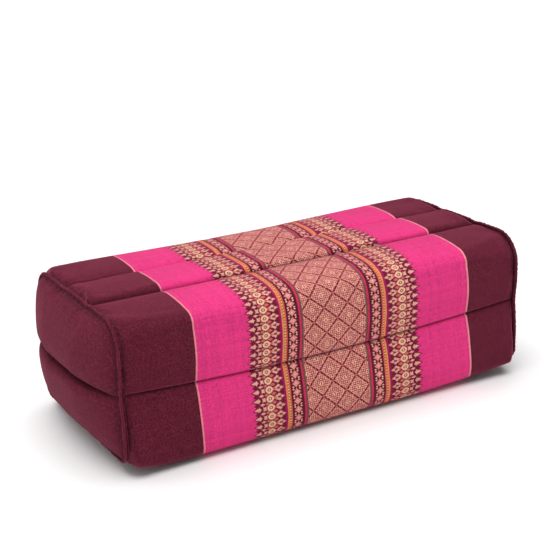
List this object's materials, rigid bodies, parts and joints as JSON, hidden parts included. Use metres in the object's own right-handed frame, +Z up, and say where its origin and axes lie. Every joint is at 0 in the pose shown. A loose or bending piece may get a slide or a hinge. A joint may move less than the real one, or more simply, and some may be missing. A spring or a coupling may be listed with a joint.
{
  "type": "rectangular meditation cushion",
  "caption": "Firmly stuffed rectangular floor cushion: a woven wrap sewn into long channels, with creased end panels joined by raised seams.",
  "frame": {"origin": "middle of the underside, on the surface that the cushion rests on", "axes": "+X along the length, +Y towards the back, +Z up"},
  "size_m": [0.35, 0.151, 0.104],
  "materials": {
    "wrap_cloth": "matt cotton, woven in pink and burgundy bands round a patterned middle",
    "end_cloth": "matt burgundy cotton"
  },
  "bodies": {
    "root": {"cushion_body": "wrap_cloth", "end_panel_left": "end_cloth", "end_panel_right": "end_cloth", "seam_ridge_left": "end_cloth", "seam_ridge_right": "end_cloth"}
  },
  "joints": []
}
